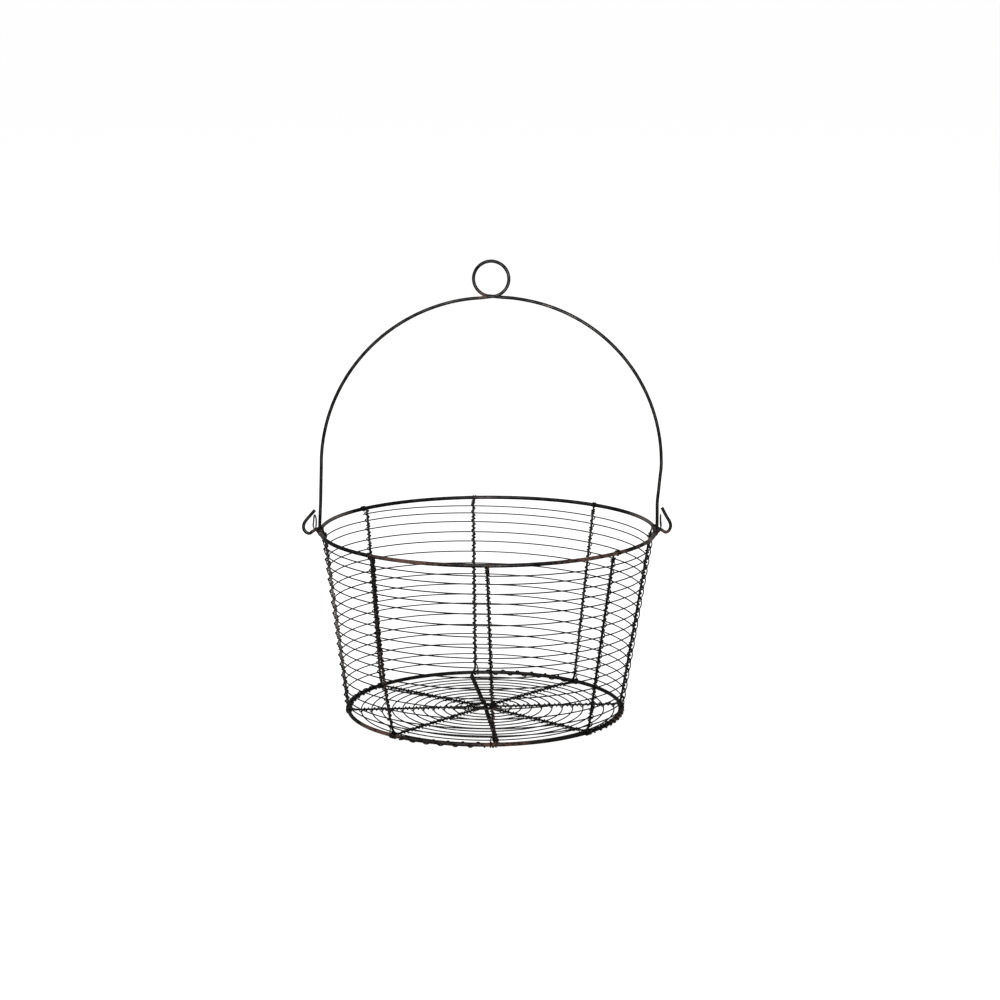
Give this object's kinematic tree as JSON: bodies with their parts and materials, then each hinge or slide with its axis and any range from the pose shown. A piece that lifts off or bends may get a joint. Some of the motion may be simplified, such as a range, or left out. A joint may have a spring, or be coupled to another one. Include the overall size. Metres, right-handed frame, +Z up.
{
  "type": "wire basket",
  "caption": "Round flared onion basket of wound and lashed iron wire, with a flat wire floor and an arched swinging bail with a hang loop.",
  "frame": {"origin": "on the floor under the middle of the rim", "axes": "+Z up, +X to the right along the bail's hinge, +Y away from the side that faces the viewer"},
  "size_m": [0.3054, 0.2832, 0.3799],
  "materials": {
    "rim": "blackened, rust-tinted along the front",
    "base_ring": "blackened, lightly rusted",
    "staves": "blackened satin",
    "side_winding": "dark grey drawn wire",
    "floor_winding": "dark grey drawn wire",
    "lashings": "blackened satin",
    "ears": "blackened satin",
    "bail": "blackened satin, with a little rust at the hooks"
  },
  "bodies": {
    "basket": {"rim_ring": "rim", "base_ring": "base_ring", "side_wire": "side_winding", "floor_wire": "floor_winding", "left_ear": "ears", "right_ear": "ears", "stave_right_to_left": "staves", "stave_back_right_to_front_left": "staves", "stave_back_left_to_front_right": "staves", "stave_back_to_front": "staves", "side_lashing_right": "lashings", "floor_lashing_right": "lashings", "side_lashing_back_right": "lashings", "floor_lashing_back_right": "lashings", "side_lashing_back": "lashings", "floor_lashing_back": "lashings", "side_lashing_back_left": "lashings", "floor_lashing_back_left": "lashings", "side_lashing_left": "lashings", "floor_lashing_left": "lashings", "side_lashing_front_left": "lashings", "floor_lashing_front_left": "lashings", "side_lashing_front": "lashings", "floor_lashing_front": "lashings", "side_lashing_front_right": "lashings", "floor_lashing_front_right": "lashings", "base_lashing_front": "lashings", "base_lashing_right": "lashings", "base_lashing_back": "lashings", "base_lashing_left": "lashings"},
    "handle": {"handle": "bail"}
  },
  "joints": [
    {"name": "handle_swing", "type": "hinge", "parent": "basket", "child": "handle", "pos_m": [0, -0.01, 0.1579], "axis": [1, 0, 0], "range_deg": [-70, 70]}
  ]
}
